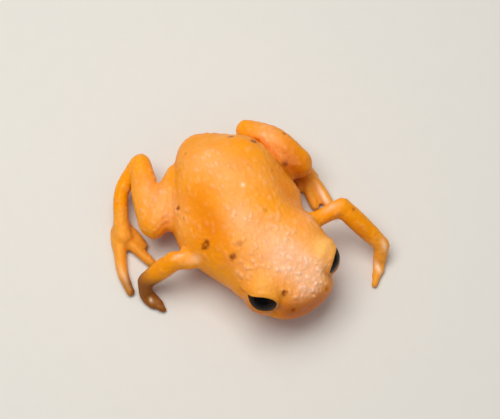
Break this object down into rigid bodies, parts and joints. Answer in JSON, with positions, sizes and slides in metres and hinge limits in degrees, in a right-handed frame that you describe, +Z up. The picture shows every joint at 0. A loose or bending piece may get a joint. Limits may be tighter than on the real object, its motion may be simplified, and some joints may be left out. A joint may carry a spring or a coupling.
{
  "type": "vargem alta flea toad",
  "caption": "Tiny crouching toad with a broad flat-topped head, short blunt snout, large dark eyes, slim bent arms and folded hind legs.",
  "frame": {"origin": "middle of the toad's footprint, on the floor it stands on", "axes": "+Z up, -Y the way the body points, +X to the toad's own left; the head is turned a little to that side"},
  "size_m": [0.0162, 0.0144, 0.0056],
  "materials": {
    "orange_skin": "moist orange skin, finely grained on the back",
    "digit_skin": "moist yellow-brown skin, smooth",
    "black_eye": "wet black"
  },
  "bodies": {
    "root": {"torso": "orange_skin", "head": "orange_skin", "eye_left": "black_eye", "eye_right": "black_eye", "upper_arm_left": "orange_skin", "upper_arm_right": "orange_skin", "forearm_left": "orange_skin", "forearm_right": "orange_skin", "hand_left": "digit_skin", "hand_right": "digit_skin", "thigh_left": "orange_skin", "thigh_right": "orange_skin", "shank_left": "orange_skin", "shank_right": "orange_skin", "tarsus_left": "orange_skin", "tarsus_right": "orange_skin", "foot_left": "digit_skin", "foot_right": "digit_skin"}
  },
  "joints": []
}
